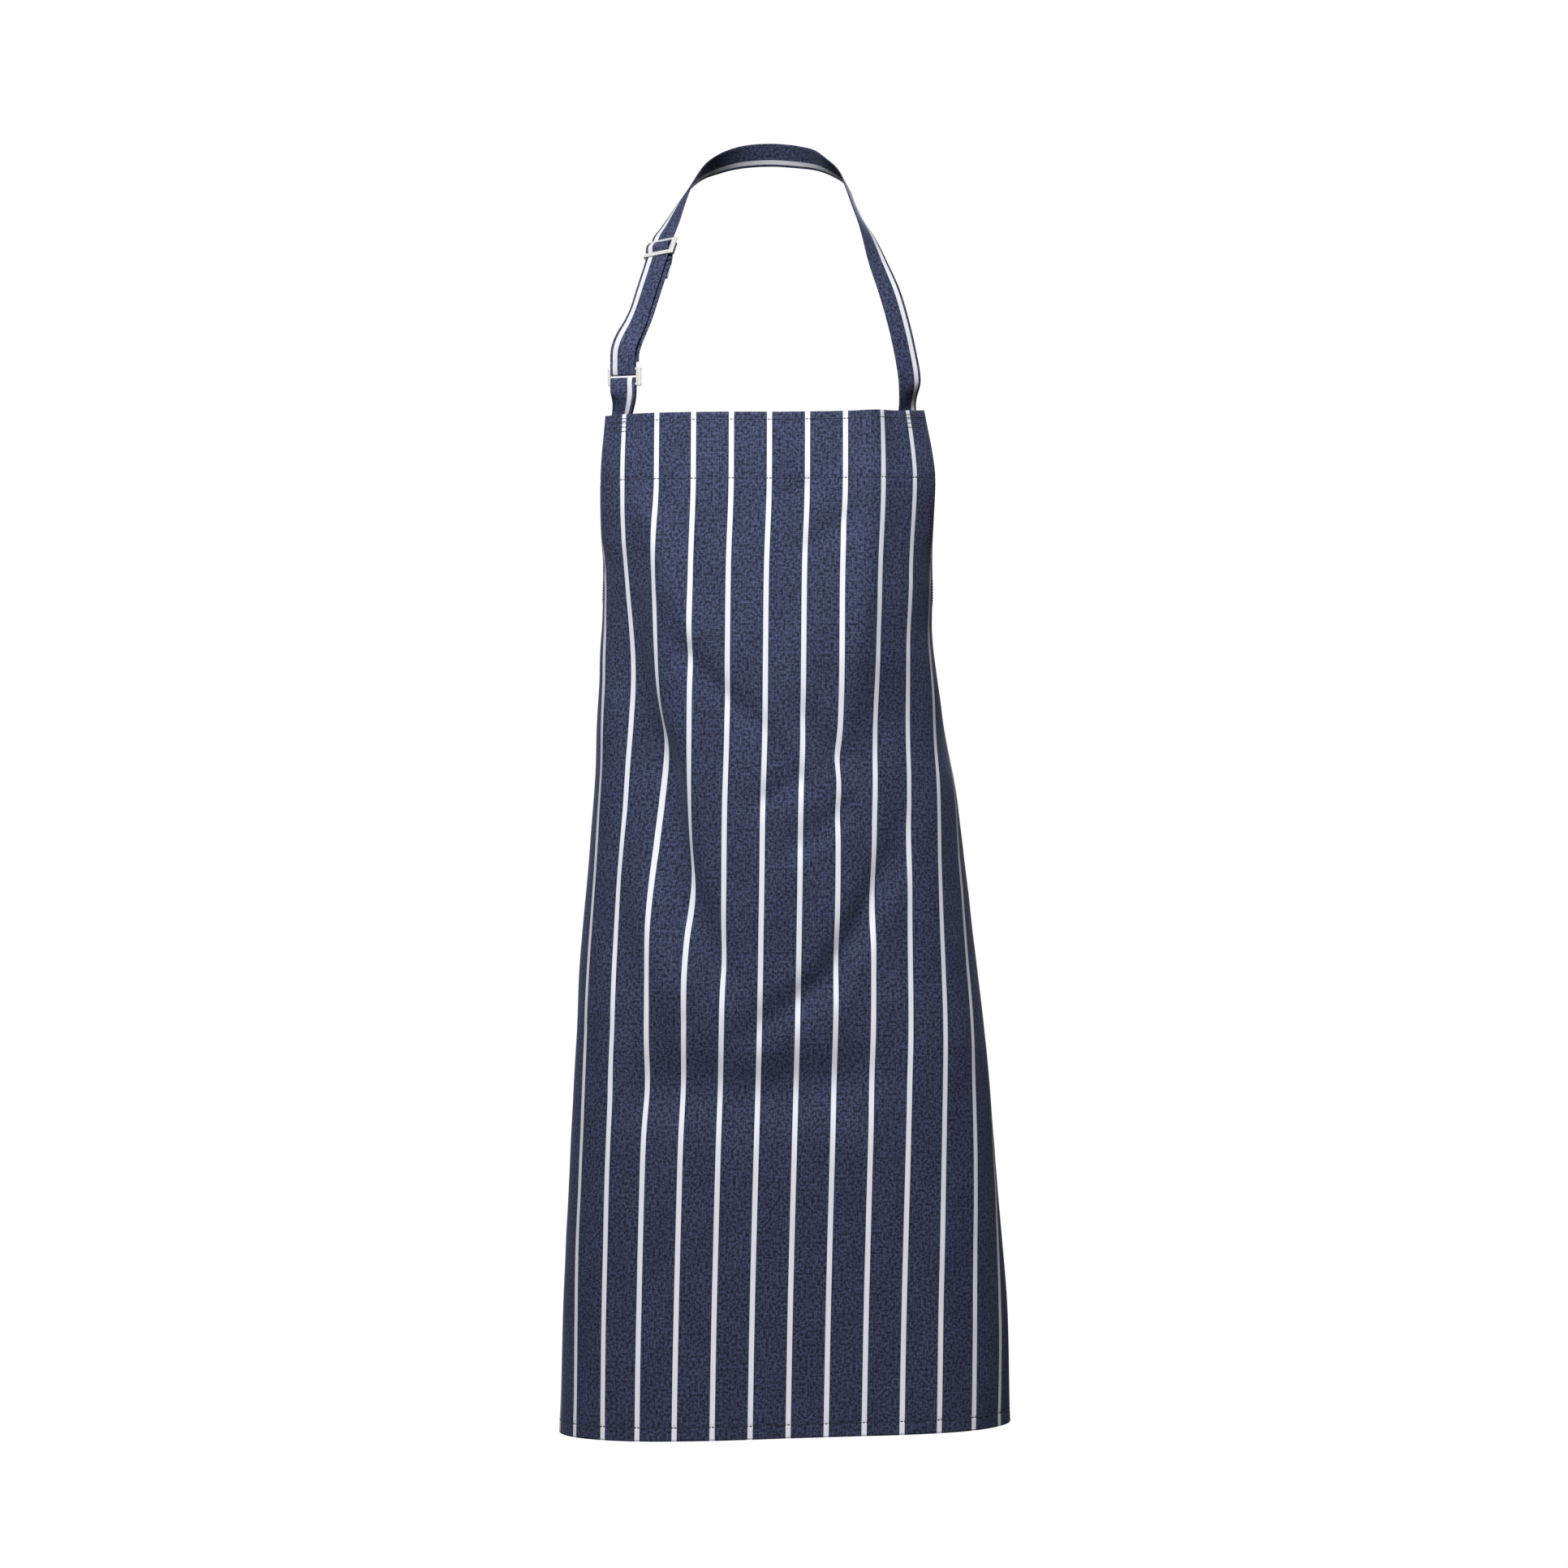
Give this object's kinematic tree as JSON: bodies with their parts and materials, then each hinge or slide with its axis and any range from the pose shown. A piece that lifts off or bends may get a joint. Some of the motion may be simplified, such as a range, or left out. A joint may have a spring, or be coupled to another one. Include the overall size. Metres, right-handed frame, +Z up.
{
  "type": "butcher apron",
  "caption": "Full-length bib apron in dark striped cloth, with an adjustable neck strap, metal slider and ring, and waist ties in a bow behind.",
  "frame": {"origin": "where the neck strap rests on the back of the wearer's neck", "axes": "+Z up, towards the neck; -Y out of the front of the apron; +X to the right when looking at the front"},
  "size_m": [0.4309, 0.242, 1.2428],
  "materials": {
    "striped_cloth": "navy twill with woven white pencil stripes",
    "metal": "satin silver",
    "thread": "navy sewing thread"
  },
  "bodies": {
    "apron": {"armhole_hem_left": "striped_cloth", "armhole_hem_right": "striped_cloth", "bib_facing": "striped_cloth", "body_panel": "striped_cloth", "bottom_hem": "striped_cloth", "bow_loop_left": "striped_cloth", "bow_loop_right": "striped_cloth", "neck_strap": "striped_cloth", "ring_tab": "striped_cloth", "side_hem_left": "striped_cloth", "side_hem_right": "striped_cloth", "strap_return": "striped_cloth", "strap_tack": "thread", "tab_tack": "thread", "tie_knot": "striped_cloth", "tie_left": "striped_cloth", "tie_right": "striped_cloth", "tie_tack_left": "thread", "tie_tack_right": "thread"},
    "slider": {"slider": "metal", "strap_end_loop": "striped_cloth", "end_loop_tack": "thread"},
    "ring": {"ring": "metal", "strap_fold": "striped_cloth"},
    "tail_left": {"tie_tail_left": "striped_cloth"},
    "tail_right": {"tie_tail_right": "striped_cloth"}
  },
  "joints": [
    {"name": "slider_travel", "type": "slide", "parent": "apron", "child": "slider", "axis": [-0.235, -0.5, -0.8335], "range_m": [0, 0.052], "deforming": ["strap_return"]},
    {"name": "ring_pivot", "type": "hinge", "parent": "apron", "child": "ring", "pos_m": [-0.1372, -0.16, -0.23955], "axis": [0.925, -0.38, 0], "range_deg": [-7, 7]},
    {"name": "tail_left_swing", "type": "hinge", "parent": "apron", "child": "tail_left", "pos_m": [-0.012, 0.0295, -0.5676], "axis": [0, 1, 0], "range_deg": [-14, 14]},
    {"name": "tail_right_swing", "type": "hinge", "parent": "apron", "child": "tail_right", "pos_m": [0.02, 0.0245, -0.5676], "axis": [0, 1, 0], "range_deg": [-14, 14]}
  ]
}
